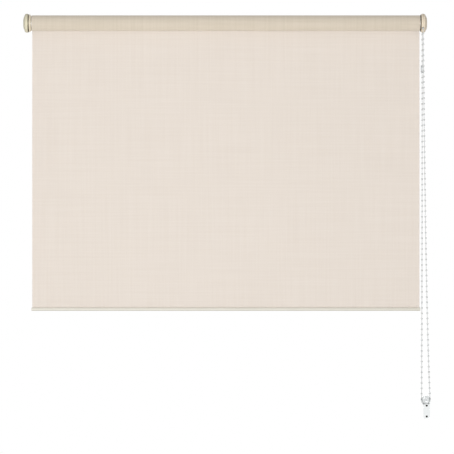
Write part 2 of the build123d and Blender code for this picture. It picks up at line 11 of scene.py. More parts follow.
import bmesh
import bpy
from mathutils import Matrix, Vector
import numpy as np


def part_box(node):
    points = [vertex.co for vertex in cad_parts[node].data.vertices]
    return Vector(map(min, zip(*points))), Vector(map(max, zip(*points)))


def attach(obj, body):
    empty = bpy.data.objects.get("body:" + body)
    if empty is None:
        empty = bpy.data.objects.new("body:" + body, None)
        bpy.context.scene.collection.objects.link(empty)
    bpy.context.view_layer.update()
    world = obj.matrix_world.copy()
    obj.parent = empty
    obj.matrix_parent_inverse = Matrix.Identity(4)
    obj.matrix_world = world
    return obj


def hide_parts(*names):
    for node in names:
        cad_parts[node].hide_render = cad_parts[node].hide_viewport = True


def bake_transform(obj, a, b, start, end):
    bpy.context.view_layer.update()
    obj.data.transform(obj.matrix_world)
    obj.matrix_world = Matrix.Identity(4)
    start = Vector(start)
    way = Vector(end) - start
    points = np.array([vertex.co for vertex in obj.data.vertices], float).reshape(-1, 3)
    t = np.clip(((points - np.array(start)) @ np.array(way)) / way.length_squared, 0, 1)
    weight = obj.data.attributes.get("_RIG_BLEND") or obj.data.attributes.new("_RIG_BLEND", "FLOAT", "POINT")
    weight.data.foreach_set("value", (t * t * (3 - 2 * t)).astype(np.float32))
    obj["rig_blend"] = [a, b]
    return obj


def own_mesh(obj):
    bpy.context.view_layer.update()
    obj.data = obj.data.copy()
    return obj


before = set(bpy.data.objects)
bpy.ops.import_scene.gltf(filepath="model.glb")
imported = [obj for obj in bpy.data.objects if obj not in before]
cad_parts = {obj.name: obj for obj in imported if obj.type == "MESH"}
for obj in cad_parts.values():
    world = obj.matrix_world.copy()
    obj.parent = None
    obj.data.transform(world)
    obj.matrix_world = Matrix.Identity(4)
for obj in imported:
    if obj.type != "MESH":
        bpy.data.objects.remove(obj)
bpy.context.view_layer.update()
MM = 0.001

# %% [markdown]
# ## Places read from the CAD model
# A piece that hangs on another takes its place from that one's box, so the two stay together if the model
# is made in another size. The roller's axis runs along X, and the cloth hangs from the back of the roll.

# %% Places
roll_low, roll_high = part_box("wound_fabric")
rail_low, rail_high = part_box("bottom_rail")
rod_low, rod_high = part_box("hem_rod")
sheet_low, sheet_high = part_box("screen_fabric")
tube_low, tube_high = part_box("tube")
foot_low, foot_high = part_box("holder_foot")
sprocket_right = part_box("sprocket")[1].x

CLOTH_THICKNESS = 0.5 * MM
axis_y = (tube_low.y + tube_high.y) / 2
roll_radius = roll_high.y - axis_y
cloth_y = roll_high.y - CLOTH_THICKNESS / 2
rail_middle = (rail_low.z + rail_high.z) / 2
rod_radius = (rod_high.z - rod_low.z) / 2
print("roll radius in mm:", round(roll_radius / MM, 2))

# %% [markdown]
# ## Colours and nodes
# Colours are written as the hex values that a colour picker shows and turned into the linear values that
# shaders use. One small function adds a node with its settings and its links, so each material below reads
# as a short recipe.

# %% Colour and node helpers
def linear(hex_colour):
    """A hex colour as linear red, green, blue and alpha."""
    parts = [int(hex_colour[k : k + 2], 16) / 255 for k in (1, 3, 5)]
    return (*[v / 12.92 if v <= 0.04045 else ((v + 0.055) / 1.055) ** 2.4 for v in parts], 1.0)


def add_node(tree, kind, inputs=None, **settings):
    """Add a node, set its properties, and link or set its inputs."""
    made = tree.nodes.new(kind)
    for key, value in settings.items():
        setattr(made, key, value)
    for key, value in (inputs or {}).items():
        if isinstance(value, bpy.types.NodeSocket):
            tree.links.new(value, made.inputs[key])
        else:
            made.inputs[key].default_value = value
    return made


def new_material(name):
    """An empty material and its node tree."""
    material = bpy.data.materials.new(name)
    material.use_nodes = True
    material.node_tree.nodes.clear()
    return material, material.node_tree


def close_material(tree, shader):
    """Lead the last shader to the surface."""
    add_node(tree, "ShaderNodeOutputMaterial", {"Surface": shader})


# %% [markdown]
# ## Moulded plastics
# The covers and the chain housing are injection moulded ABS: a fine satin grain from the mould, a soft
# gloss, and a cream colour that drifts a little. Plugs, clutch and sprocket are acetal or nylon, a little
# waxy. A noise of grain size drives the bump, and a broad one moves the colour by a few percent. The grain
# is drawn at 0.6 mm, coarser than the mould's own, which is too fine to show.

# %% Moulded plastic
GRAIN = 0.6 * MM
DRIFT = 30 * MM
WEAR_SPREAD = 0.05


def moulded_plastic(name, light, dark, roughness, grain=0.12, gloss=0.5):
    """Plastic with a fine mould grain and a slow drift between two near colours."""
    material, tree = new_material(name)
    place = add_node(tree, "ShaderNodeTexCoord").outputs["Object"]
    broad = add_node(tree, "ShaderNodeTexNoise", {"Vector": place, "Scale": 1 / DRIFT, "Detail": 3.0})
    fine = add_node(tree, "ShaderNodeTexNoise", {"Vector": place, "Scale": 1 / GRAIN, "Detail": 2.0})
    ramp = {0: broad.outputs["Fac"], 6: linear(light), 7: linear(dark)}
    colour = add_node(tree, "ShaderNodeMix", ramp, data_type="RGBA")
    bump = add_node(
        tree,
        "ShaderNodeBump",
        {"Height": fine.outputs["Fac"], "Strength": grain, "Distance": 0.1 * MM},
    )
    worn = add_node(
        tree,
        "ShaderNodeMapRange",
        {
            "Value": fine.outputs["Fac"],
            "To Min": roughness - WEAR_SPREAD,
            "To Max": roughness + WEAR_SPREAD,
        },
    )
    shader = add_node(
        tree,
        "ShaderNodeBsdfPrincipled",
        {
            "Base Color": colour.outputs[2],
            "Roughness": worn.outputs["Result"],
            "IOR": 1.53,
            "Specular IOR Level": gloss,
            "Normal": bump.outputs["Normal"],
        },
    )
    close_material(tree, shader.outputs["BSDF"])
    return material


cover_abs = moulded_plastic("satin_moulded_abs", "#ded8bf", "#d6cfb4", 0.5, gloss=0.3)
housing_abs = moulded_plastic("satin_moulded_abs_pale", "#eee0cb", "#e7d9c2", 0.5, gloss=0.3)
cream_acetal = moulded_plastic("moulded_cream_acetal", "#eadec6", "#e2d5bb", 0.5)
white_acetal = moulded_plastic("moulded_white_acetal", "#efeae0", "#e7e1d5", 0.42)
grey_nylon = moulded_plastic("moulded_grey_nylon", "#9a9c9f", "#8d8f92", 0.48)
# The bracket bush and the drive adaptor sit in the gaps at the roller's ends; their dark brown is painted
# shade for those gaps
nylon_darkened_for_gap_shade = moulded_plastic("moulded_nylon_darkened_for_gap_shade", "#7d705c", "#6f6350", 0.55)
cap_abs = moulded_plastic("moulded_rail_cap_abs", "#d9d4c8", "#d0cabd", 0.4)

# %% [markdown]
# ## Clear polycarbonate
# The chain's holder and its connector are clear mouldings. Polycarbonate bends light a little more than
# acrylic does. The holder's foot is thick, so it refracts. Its front flange and the connector are thin walls
# that lie flat on other faces, where refraction would go wrong, so they are see-through instead. A grey tint
# that grows where the eye grazes them, as at their edges, is painted shade for the dark outlines that
# refraction gives clear plastic. Faint flow marks of the moulding are 4 mm apart.

# %% Clear plastic
POLYCARBONATE_IOR = 1.58
FLOW_MARKS = 4 * MM
FACE_ALPHA = 0.12
EDGE_SHADE_ALPHA = 0.85


def clear_plastic(name, tint, roughness, thin):
    """A clear moulding, refracting or, where it is thin, only see-through."""
    material, tree = new_material(name)
    place = add_node(tree, "ShaderNodeTexCoord").outputs["Object"]
    flow = add_node(tree, "ShaderNodeTexNoise", {"Vector": place, "Scale": 1 / FLOW_MARKS, "Detail": 2.0})
    bump = add_node(
        tree,
        "ShaderNodeBump",
        {"Height": flow.outputs["Fac"], "Strength": 0.08, "Distance": 0.2 * MM},
    )
    inputs = {
        "Base Color": linear(tint),
        "Roughness": roughness,
        "IOR": POLYCARBONATE_IOR,
        "Normal": bump.outputs["Normal"],
    }
    if thin:
        # More grey tint where the eye grazes: painted shade for the dark outlines of refraction
        graze = add_node(tree, "ShaderNodeLayerWeight", {"Blend": 0.7}).outputs["Facing"]
        spread = {"Value": graze, "To Min": FACE_ALPHA, "To Max": EDGE_SHADE_ALPHA}
        body = add_node(tree, "ShaderNodeMapRange", spread)
        inputs["Alpha"] = body.outputs["Result"]
    else:
        inputs["Transmission Weight"] = 1.0
    shader = add_node(tree, "ShaderNodeBsdfPrincipled", inputs)
    close_material(tree, shader.outputs["BSDF"])
    return material


clear_polycarbonate = clear_plastic("clear_moulded_polycarbonate", "#eef1f1", 0.06, thin=False)
# The dark grey tint is painted shade, not the plastic's own colour
thin_polycarbonate = clear_plastic("clear_thin_polycarbonate", "#84898c", 0.1, thin=True)
barrel_polycarbonate = clear_plastic("clear_barrel_polycarbonate", "#cfd3d5", 0.1, thin=True)

# %% [markdown]
# ## Metals
# The brackets are sheet steel, zinc plated. Their dull olive brown, which clouds a little from place to
# place, is painted shade: it is dark so that the gaps at the roller's ends, where the brackets show, read as
# shadow. The springs and the retaining ring are oiled spring steel, and the screws are blackened.
# The tube is extruded aluminium, whose fine die lines run along it, so its noise is stretched along X.

# %% Metal
CLOUD_SPREAD = 0.08


def rolled_metal(name, light, dark, roughness, cloud, stretch=1.0):
    """Bare metal whose roughness clouds over at one size, stretched along X by the given factor."""
    material, tree = new_material(name)
    place = add_node(tree, "ShaderNodeTexCoord").outputs["Object"]
    drawn = add_node(tree, "ShaderNodeMapping", {"Vector": place, "Scale": (1 / stretch, 1.0, 1.0)})
    marks = add_node(
        tree,
        "ShaderNodeTexNoise",
        {"Vector": drawn.outputs["Vector"], "Scale": 1 / cloud, "Detail": 4.0},
    )
    ramp = {0: marks.outputs["Fac"], 6: linear(light), 7: linear(dark)}
    colour = add_node(tree, "ShaderNodeMix", ramp, data_type="RGBA")
    rough = add_node(
        tree,
        "ShaderNodeMapRange",
        {
            "Value": marks.outputs["Fac"],
            "To Min": roughness - CLOUD_SPREAD,
            "To Max": roughness + CLOUD_SPREAD,
        },
    )
    bump = add_node(
        tree,
        "ShaderNodeBump",
        {"Height": marks.outputs["Fac"], "Strength": 0.1, "Distance": 0.05 * MM},
    )
    shader = add_node(
        tree,
        "ShaderNodeBsdfPrincipled",
        {
            "Base Color": colour.outputs[2],
            "Metallic": 1.0,
            "Roughness": rough.outputs["Result"],
            "Normal": bump.outputs["Normal"],
        },
    )
    close_material(tree, shader.outputs["BSDF"])
    return material


# Dark bracket finish: painted shade for the gaps at the roller's ends
zinc_darkened_for_gap_shade = rolled_metal("zinc_plate_darkened_for_gap_shade", "#716851", "#615842", 0.5, 6 * MM)
spring_steel = rolled_metal("oiled_spring_steel", "#8b8d90", "#6f7174", 0.32, 2 * MM)
mill_aluminium = rolled_metal("mill_finish_aluminium", "#d3d5d7", "#c2c4c6", 0.5, 1.2 * MM, 60.0)
screw_steel = rolled_metal("blackened_screw_steel", "#3a3835", "#282624", 0.45, 1 * MM)

# %% [markdown]
# ## Powder coat
# The rail is aluminium under a baked powder coat. The powder melts into a skin with a slight orange peel, a
# bump a millimetre or so across, and it covers the metal fully, so the shader isn't metallic.

# %% Powder coat
ORANGE_PEEL = 1.2 * MM


def powder_coat(name, light, dark):
    """Baked enamel with a soft orange peel."""
    material, tree = new_material(name)
    place = add_node(tree, "ShaderNodeTexCoord").outputs["Object"]
    peel = add_node(tree, "ShaderNodeTexNoise", {"Vector": place, "Scale": 1 / ORANGE_PEEL, "Detail": 1.0})
    broad = add_node(tree, "ShaderNodeTexNoise", {"Vector": place, "Scale": 1 / DRIFT, "Detail": 2.0})
    ramp = {0: broad.outputs["Fac"], 6: linear(light), 7: linear(dark)}
    colour = add_node(tree, "ShaderNodeMix", ramp, data_type="RGBA")
    bump = add_node(
        tree,
        "ShaderNodeBump",
        {"Height": peel.outputs["Fac"], "Strength": 0.25, "Distance": 0.1 * MM},
    )
    shader = add_node(
        tree,
        "ShaderNodeBsdfPrincipled",
        {
            "Base Color": colour.outputs[2],
            "Roughness": 0.38,
            "IOR": 1.5,
            "Normal": bump.outputs["Normal"],
        },
    )
    close_material(tree, shader.outputs["BSDF"])
    return material


rail_enamel = powder_coat("baked_powder_coat", "#d1cdc1", "#c9c5b8")

# %% [markdown]
# ## Screen cloth
# Screen cloth is coated yarn in an open basket weave, whose pairs of yarns are 1.1 mm wide. Up close the eye
# sees round warp and weft yarns crossing, and from a step away faint streaks where a yarn is a little thicker
# or paler. The streaks are drawn a few yarns wide, because a single yarn is too fine to show. Both patterns
# follow the cloth, so they read its UV map, which holds true metres across and along the cloth. The hanging
# sheet lets some light through, and the roll, many layers thick, doesn't. The roll's copy of the cloth is
# also given darker colours than the hanging one, which is painted shade that makes the roll look deeper.

# %% Woven cloth
YARN = 1.1 * MM
SLUB_WIDTH = 4.0 * MM
SLUB_LENGTH = 180 * MM
WAVE_PERIOD = tau / 20


def woven_cloth(name, yarn_light, yarn_dark, shade, through):
    """Basket woven, coated yarn. through is the share of light that comes from behind."""
    material, tree = new_material(name)
    flat = add_node(tree, "ShaderNodeUVMap", uv_map="cloth").outputs["UV"]
    scale = WAVE_PERIOD / YARN
    warp = add_node(tree, "ShaderNodeTexWave", {"Vector": flat, "Scale": scale}, bands_direction="X")
    weft = add_node(tree, "ShaderNodeTexWave", {"Vector": flat, "Scale": scale}, bands_direction="Y")
    weave = add_node(
        tree,
        "ShaderNodeMath",
        {0: warp.outputs["Fac"], 1: weft.outputs["Fac"]},
        operation="MULTIPLY",
    )
    streaks = []
    for stretch in ((1 / SLUB_WIDTH, 1 / SLUB_LENGTH, 1.0), (1 / SLUB_LENGTH, 1 / SLUB_WIDTH, 1.0)):
        drawn = add_node(tree, "ShaderNodeMapping", {"Vector": flat, "Scale": stretch})
        slub = {"Vector": drawn.outputs["Vector"], "Scale": 1.0, "Detail": 3.0}
        streaks.append(add_node(tree, "ShaderNodeTexNoise", slub).outputs["Fac"])
    streak = add_node(tree, "ShaderNodeMath", {0: streaks[0], 1: streaks[1]}, operation="ADD")
    spread = add_node(
        tree,
        "ShaderNodeMapRange",
        {"Value": streak.outputs["Value"], "From Min": 0.7, "From Max": 1.3},
    )
    tone = {0: spread.outputs["Result"], 6: linear(yarn_light), 7: linear(yarn_dark)}
    yarn = add_node(tree, "ShaderNodeMix", tone, data_type="RGBA")
    depth = add_node(
        tree,
        "ShaderNodeMapRange",
        {"Value": weave.outputs["Value"], "To Min": 0.35, "To Max": 0.0},
    )
    cover = {0: depth.outputs["Result"], 6: yarn.outputs[2], 7: linear(shade)}
    colour = add_node(tree, "ShaderNodeMix", cover, data_type="RGBA")
    bump = add_node(
        tree,
        "ShaderNodeBump",
        {"Height": weave.outputs["Value"], "Strength": 0.3, "Distance": 0.15 * MM},
    )
    front = add_node(
        tree,
        "ShaderNodeBsdfPrincipled",
        {
            "Base Color": colour.outputs[2],
            "Roughness": 0.72,
            "Diffuse Roughness": 0.4,
            "Sheen Weight": 0.15,
            "Sheen Roughness": 0.5,
            "Normal": bump.outputs["Normal"],
        },
    )
    if not through:
        close_material(tree, front.outputs["BSDF"])
        return material
    behind = add_node(tree, "ShaderNodeBsdfTranslucent", {"Color": colour.outputs[2]})
    both = {0: through, 1: front.outputs["BSDF"], 2: behind.outputs["BSDF"]}
    close_material(tree, add_node(tree, "ShaderNodeMixShader", both).outputs["Shader"])
    return material


hung_weave = woven_cloth("woven_screen_cloth_hung", "#f3ede7", "#eee7e0", "#dbd4cb", 0.3)
# The same cloth in darker colours: painted shade for the roll
wound_weave_shaded_copy = woven_cloth("woven_screen_cloth_wound_painted_shade", "#e0d6c7", "#d6ccbb", "#bfb29f", 0.0)

# %% [markdown]
# ## Beads and tape
# The beads are moulded straight onto the cord in a milky resin that lets a little light in, so a small
# subsurface share softens their shading. The fixing tape is a film with the same gloss and no such share.

# %% Bead resin
MILK_CLOUD = 3 * MM


def milky_resin(name, colour, subsurface):
    """Gloss resin with light scattering just under its skin."""
    material, tree = new_material(name)
    place = add_node(tree, "ShaderNodeTexCoord").outputs["Object"]
    cloud = add_node(tree, "ShaderNodeTexNoise", {"Vector": place, "Scale": 1 / MILK_CLOUD, "Detail": 2.0})
    rough = add_node(
        tree,
        "ShaderNodeMapRange",
        {"Value": cloud.outputs["Fac"], "To Min": 0.22, "To Max": 0.34},
    )
    shader = add_node(
        tree,
        "ShaderNodeBsdfPrincipled",
        {
            "Base Color": linear(colour),
            "Roughness": rough.outputs["Result"],
            "Subsurface Weight": subsurface,
            "Subsurface Radius": (1.2 * MM, 1.1 * MM, 1.0 * MM),
            "Subsurface Scale": 1.0,
        },
    )
    close_material(tree, shader.outputs["BSDF"])
    return material


bead_resin = milky_resin("milky_bead_resin", "#d1d3d3", 0.2)
tape_film = milky_resin("adhesive_tape_film", "#f2f1ec", 0.0)

# %% [markdown]
# ## Finishes for the CAD pieces
# The rigid pieces keep their CAD meshes, whose forms are already right. Each only swaps its plain material
# for the finish of the real one; those of the brackets, the bush and the drive adaptor are darkened as
# painted shade for the gaps at the roller's ends.

# %% CAD finishes
FINISHES = {
    "left_cover": cover_abs,
    "right_cover": housing_abs,
    "chain_housing": housing_abs,
    "left_bracket": zinc_darkened_for_gap_shade,
    "right_bracket": zinc_darkened_for_gap_shade,
    "bracket_bush": nylon_darkened_for_gap_shade,
    "idle_plug": cream_acetal,
    "sprocket": white_acetal,
    "hem_rod": white_acetal,
    "drive_core": grey_nylon,
    "drive_adaptor": nylon_darkened_for_gap_shade,
    "idle_pin": grey_nylon,
    "retaining_ring": spring_steel,
    "clutch_springs": spring_steel,
    "tube": mill_aluminium,
    "fixing_tape": tape_film,
    "bottom_rail": rail_enamel,
    "rail_cap_left": cap_abs,
    "rail_cap_right": cap_abs,
    "holder_foot": clear_polycarbonate,
    "holder_cap": thin_polycarbonate,
    "chain_connector": barrel_polycarbonate,
}
for node_name, finish in FINISHES.items():
    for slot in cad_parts[node_name].material_slots:
        slot.material = finish
print("finished CAD nodes:", len(FINISHES))

# %% [markdown]
# ## Making a piece
# New pieces are built as a bmesh and written into an object that sits at the origin, so that its place is in
# its mesh. Faces are shaded smooth, apart from edges sharper than a given angle.

# %% Piece helpers
SMOOTH_ANGLE = radians(40)


def make_piece(name, bm, material):
    """Turn a bmesh into a named object with one material."""
    mesh = bpy.data.meshes.new(name)
    bm.to_mesh(mesh)
    bm.free()
    mesh.materials.append(material)
    piece = bpy.data.objects.new(name, mesh)
    bpy.context.scene.collection.objects.link(piece)
    return piece


def shade(piece):
    """Shade smooth, with real corners kept sharp."""
    piece.data.shade_smooth()
    piece.data.set_sharp_from_angle(angle=SMOOTH_ANGLE)


def settle(piece):
    """Write the piece's modifiers into its mesh."""
    graph = bpy.context.evaluated_depsgraph_get()
    mesh = bpy.data.meshes.new_from_object(piece.evaluated_get(graph))
    piece.modifiers.clear()
    piece.data = mesh
    shade(piece)


def thicken(piece, thickness):
    """Give a sheet its thickness, half to each side."""
    wall = piece.modifiers.new("thickness", "SOLIDIFY")
    wall.thickness = thickness
    wall.offset = 0.0
    settle(piece)


# %% [markdown]
# ## A length of cloth
# Both the roll and the hanging sheet are one line of vertices, drawn in the plane across the roller and then
# extruded along X. A float layer on the vertices keeps how far along the cloth each one lies, and the
# operators copy and interpolate it, so the UV map at the end is in true metres.

# %% Cloth strip
def cloth_strip(points, left, right, cuts):
    """A bmesh of cloth through points of (y, z), from left to right, cut across its width."""
    bm = bmesh.new()
    run = bm.verts.layers.float.new("run")
    tip = bm.verts.new((left, *points[0]))
    for y, z in points[1:]:
        grown = bmesh.ops.extrude_vert_indiv(bm, verts=[tip])["verts"][0]
        grown.co = (left, y, z)
        grown[run] = tip[run] + (grown.co - tip.co).length
        tip = grown
    wide = bmesh.ops.extrude_edge_only(bm, edges=bm.edges[:])["geom"]
    moved = [v for v in wide if isinstance(v, bmesh.types.BMVert)]
    bmesh.ops.translate(bm, verts=moved, vec=(right - left, 0, 0))
    if cuts:
        across = [e for e in bm.edges if abs(e.verts[0].co.x - e.verts[1].co.x) > MM]
        bmesh.ops.subdivide_edges(bm, edges=across, cuts=cuts, use_grid_fill=True)
    uv = bm.loops.layers.uv.new("cloth")
    for face in bm.faces:
        for corner in face.loops:
            corner[uv].uv = (corner.vert.co.x - left, corner.vert[run])
    bmesh.ops.recalc_face_normals(bm, faces=bm.faces[:])
    return bm


# %% [markdown]
# ## The roll
# The wound cloth is a true spiral: each turn lies on the one below it, one thickness further in, and its end
# shows as fine rings at the roll's two ends. It starts where the hanging sheet leaves, at the back of the
# roll at the axis's height, and winds over the top and down the front. Its turns are a little thinner than
# the cloth, so that they stay clear of one another.

# %% Roll
TURN_STEPS = 64
TAPE_ROOM = 0.3 * MM
TURN_FILL = 0.9
core_radius = (tube_high.y - tube_low.y) / 2 + TAPE_ROOM
outer_line = roll_radius - CLOTH_THICKNESS / 2
turn_count = (outer_line - core_radius - CLOTH_THICKNESS / 2) / CLOTH_THICKNESS
spiral = []
for step in range(int(turn_count * TURN_STEPS) + 1):
    angle = tau * step / TURN_STEPS
    radius = outer_line - CLOTH_THICKNESS * step / TURN_STEPS
    spiral.append((axis_y + radius * cos(angle), radius * sin(angle)))
wound_cloth = make_piece("wound_cloth", cloth_strip(spiral, roll_low.x, roll_high.x, 0), wound_weave_shaded_copy)
thicken(wound_cloth, TURN_FILL * CLOTH_THICKNESS)
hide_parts("wound_fabric")
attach(wound_cloth, "roller")
print("turns on the roll:", round(turn_count, 1))

# %% [markdown]
# ## The hanging sheet
# The sheet drops straight from the roll into the rail's slot and goes once round the rod there. Screen cloth
# is stiff, so it hangs nearly flat, but its edges cup towards the room by a fraction of a millimetre and the
# middle has slow, shallow waves. As the rail moves, the sheet stretches or shrinks evenly along its length,
# in place of cloth that winds off.

# %% Sheet
SHEET_STEPS = 60
HEM_STEPS = 16
SHEET_CUTS = 71
HEM_GAP = 0.05 * MM
HEM_TURN = radians(330)
hem_line = rod_radius + HEM_GAP + CLOTH_THICKNESS / 2
hem_top = rail_middle + hem_line
line = [(cloth_y, hem_top * k / SHEET_STEPS) for k in range(SHEET_STEPS)]
for k in range(HEM_STEPS):
    turned = HEM_TURN * k / (HEM_STEPS - 1)
    line.append((cloth_y - hem_line * sin(turned), rail_middle + hem_line * cos(turned)))
hung_bm = cloth_strip(line, sheet_low.x, sheet_high.x, SHEET_CUTS)

CUP_DEPTH = 0.8 * MM
CUP_WIDTH = 45 * MM
WAVE_DEPTH = 0.35 * MM
WAVE_ACROSS = 0.31
WAVE_DOWN = 0.9
WAVE_START = 1.3
for vert in hung_bm.verts:
    free = sin(pi * min(max(vert.co.z / hem_top, 0.0), 1.0))
    inset = min(vert.co.x - sheet_low.x, sheet_high.x - vert.co.x)
    cup = CUP_DEPTH * max(0.0, 1 - inset / CUP_WIDTH) ** 2
    across = sin(tau * vert.co.x / WAVE_ACROSS + WAVE_START)
    vert.co.y -= free * (cup + WAVE_DEPTH * across * sin(tau * vert.co.z / WAVE_DOWN))

hung_cloth = make_piece("hung_cloth", hung_bm, hung_weave)
thicken(hung_cloth, CLOTH_THICKNESS)
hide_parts("screen_fabric")
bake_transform(hung_cloth, "mounting", "bottom_bar", start=(0, cloth_y, 0), end=(0, cloth_y, rail_high.z))

# An even share from the roll down to the rail, so that the cloth stretches by the same amount everywhere
shares = hung_cloth.data.attributes["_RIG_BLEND"].data
for vert, entry in zip(hung_cloth.data.vertices, shares):
    entry.value = min(max(vert.co.z / rail_high.z, 0.0), 1.0)

# %% [markdown]
# ## The bead chain
# The chain is a closed loop of moulded beads on a thin cord, over the sprocket and round the clear holder.
# Between two beads the cord is a straight link, so on the sprocket the links lie as chords from pocket to
# pocket. One low sphere and one short tube are placed again and again along the loop, by the same sizes that
# the CAD chain has. One link is left out, because the clear connector takes its place.

# %% Chain route
BEAD_PITCH = 12.0 * MM
BEAD_COUNT = 147
BEAD_RADIUS = 2.25 * MM
CORD_RADIUS = 0.75 * MM
POCKETS = 8
TURN_RADIUS = 9.5 * MM
STRAND_FLARE = 4.0
SPROCKET_HALF = 2.2 * MM
DRUM_OFF_WALL = 9.0 * MM
pitch_radius = BEAD_PITCH / (2 * sin(pi / POCKETS))
chain_x = sprocket_right - SPROCKET_HALF
drum_x = (foot_low.x + foot_high.x) / 2
drum_y = -DRUM_OFF_WALL
wrapped = POCKETS // 2
front_top = Vector((chain_x, axis_y - pitch_radius, 0))
back_top = Vector((chain_x, axis_y + pitch_radius, 0))
front_aside = Vector((drum_x + TURN_RADIUS - front_top.x, drum_y - front_top.y)).length
back_aside = Vector((drum_x - TURN_RADIUS - back_top.x, drum_y - back_top.y)).length
turn_length = pi * TURN_RADIUS
strands = (BEAD_COUNT - wrapped) * BEAD_PITCH - turn_length
front_strand = (strands + (front_aside**2 - back_aside**2) / strands) / 2
back_strand = strands - front_strand
drum_z = -sqrt(front_strand**2 - front_aside**2)
front_end = Vector((drum_x + TURN_RADIUS, drum_y, drum_z))
back_end = Vector((drum_x - TURN_RADIUS, drum_y, drum_z))


def strand_point(top, bottom, share):
    """A point of a hanging strand: it is steepest at the top, where it carries most of its own weight."""
    aside = log(1 + STRAND_FLARE * (1 - share)) / log(1 + STRAND_FLARE)
    point = bottom.lerp(top, aside)
    point.z = top.z + (bottom.z - top.z) * share
    return point


def chain_point(travel):
    """A place on the loop below the sprocket: down the front, round the drum and up the back."""
    if travel <= front_strand:
        return strand_point(front_top, front_end, travel / front_strand)
    travel -= front_strand
    if travel <= turn_length:
        turned = travel / TURN_RADIUS
        return Vector((drum_x + TURN_RADIUS * cos(turned), drum_y, drum_z - TURN_RADIUS * sin(turned)))
    return strand_point(back_top, back_end, 1 - (travel - turn_length) / back_strand)


beads = []
for k in range(wrapped):
    angle = pi - tau * k / POCKETS
    beads.append(Vector((chain_x, axis_y - pitch_radius * cos(angle), pitch_radius * sin(angle))))
beads += [chain_point(BEAD_PITCH * k) for k in range(BEAD_COUNT - wrapped)]
print("chain loop in mm:", round(BEAD_COUNT * BEAD_PITCH / MM), "drum height in mm:", round(drum_z / MM, 1))

# %% Chain
CONNECTOR_LINK = 8
BEAD_SEGMENTS = 10
BEAD_RINGS = 7
CORD_SIDES = 7
CORD_SEAT = 0.9
chain_bm = bmesh.new()
for k, bead in enumerate(beads):
    following = beads[(k + 1) % BEAD_COUNT]
    link = following - bead
    turn = link.to_track_quat("Z", "Y").to_matrix().to_4x4()
    bmesh.ops.create_uvsphere(
        chain_bm,
        u_segments=BEAD_SEGMENTS,
        v_segments=BEAD_RINGS,
        radius=BEAD_RADIUS,
        matrix=Matrix.Translation(bead) @ turn,
    )
    if k == BEAD_COUNT - CONNECTOR_LINK - 1:
        continue
    bmesh.ops.create_cone(
        chain_bm,
        cap_ends=False,
        segments=CORD_SIDES,
        radius1=CORD_RADIUS,
        radius2=CORD_RADIUS,
        depth=link.length - 2 * BEAD_RADIUS * CORD_SEAT,
        matrix=Matrix.Translation((bead + following) / 2) @ turn,
    )
beads_and_cord = make_piece("beads_and_cord", chain_bm, bead_resin)
shade(beads_and_cord)
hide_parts("bead_chain")
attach(beads_and_cord, "mounting")
print("chain faces:", len(beads_and_cord.data.polygons))

# %% [markdown]
# ## A ring of painted shade at the left end
# Between the left cap and the roller's flange the gap is in shadow, a dark line as high as the cap itself.
# A short stepped ring in the brackets' dark finish is put there as painted shade for it. It is spun about
# the roller's axis, starts inside the cap and flares out past the cap's mouth. Its section is given in
# millimetres, as the distance from the mouth and the radius.

# %% Painted shade ring
GAP_RING_SECTION = ((-1.2, 17.6), (-1.2, 19.4), (0.1, 19.4), (0.1, 20.5), (1.0, 20.5), (1.3, 20.2), (1.3, 17.6))
GAP_RING_STEPS = 72
MERGE_DISTANCE = 0.01 * MM
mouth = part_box("left_cover")[1].x
gap_ring_bm = bmesh.new()
gap_ring_verts = [gap_ring_bm.verts.new((mouth + x * MM, axis_y + r * MM, 0)) for x, r in GAP_RING_SECTION]
for a, b in zip(gap_ring_verts, gap_ring_verts[1:] + gap_ring_verts[:1]):
    gap_ring_bm.edges.new((a, b))
bmesh.ops.spin(
    gap_ring_bm,
    geom=gap_ring_bm.verts[:] + gap_ring_bm.edges[:],
    cent=(0, axis_y, 0),
    axis=(1, 0, 0),
    angle=tau,
    steps=GAP_RING_STEPS,
    use_merge=True,
)
bmesh.ops.remove_doubles(gap_ring_bm, verts=gap_ring_bm.verts[:], dist=MERGE_DISTANCE)
bmesh.ops.recalc_face_normals(gap_ring_bm, faces=gap_ring_bm.faces[:])
# A dark ring that paints the shade in the gap between the left cap and the roller's flange
gap_shade_ring = make_piece("left_gap_shade_ring", gap_ring_bm, zinc_darkened_for_gap_shade)
shade(gap_shade_ring)
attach(gap_shade_ring, "mounting")
print("shade ring faces:", len(gap_shade_ring.data.polygons))

# %% [markdown]
# ## The idle pin's spring
# The CAD spring has a square wire and keeps its length. The real one is coiled from round wire, and it
# shortens between the pin's collar and the plug's inner wall when the pin is pushed in. This coil has the
# round wire, but it keeps its length too.

# %% Pin spring
SPRING_TURNS = 6
TURN_SEGMENTS = 24
WIRE_RADIUS = 0.4 * MM
WIRE_SIDES = 8
coil_low, coil_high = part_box("pin_spring")
coil_radius = (coil_high.y - coil_low.y) / 2 - WIRE_RADIUS
coil_length = coil_high.x - coil_low.x - 2 * WIRE_RADIUS
coil_bm = bmesh.new()
coil_start = Matrix.Translation((coil_low.x + WIRE_RADIUS, axis_y - coil_radius, 0))
bmesh.ops.create_circle(coil_bm, segments=WIRE_SIDES, radius=WIRE_RADIUS, matrix=coil_start)
bmesh.ops.spin(
    coil_bm,
    geom=coil_bm.verts[:] + coil_bm.edges[:],
    cent=(coil_low.x, axis_y, 0),
    axis=(1, 0, 0),
    dvec=(coil_length / (SPRING_TURNS * TURN_SEGMENTS), 0, 0),
    angle=tau * SPRING_TURNS,
    steps=SPRING_TURNS * TURN_SEGMENTS,
)
bmesh.ops.holes_fill(coil_bm, edges=[e for e in coil_bm.edges if e.is_boundary], sides=WIRE_SIDES)
bmesh.ops.recalc_face_normals(coil_bm, faces=coil_bm.faces[:])
pin_coil = make_piece("pin_coil", coil_bm, spring_steel)
shade(pin_coil)
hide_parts("pin_spring")
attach(pin_coil, "roller")
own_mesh(pin_coil)

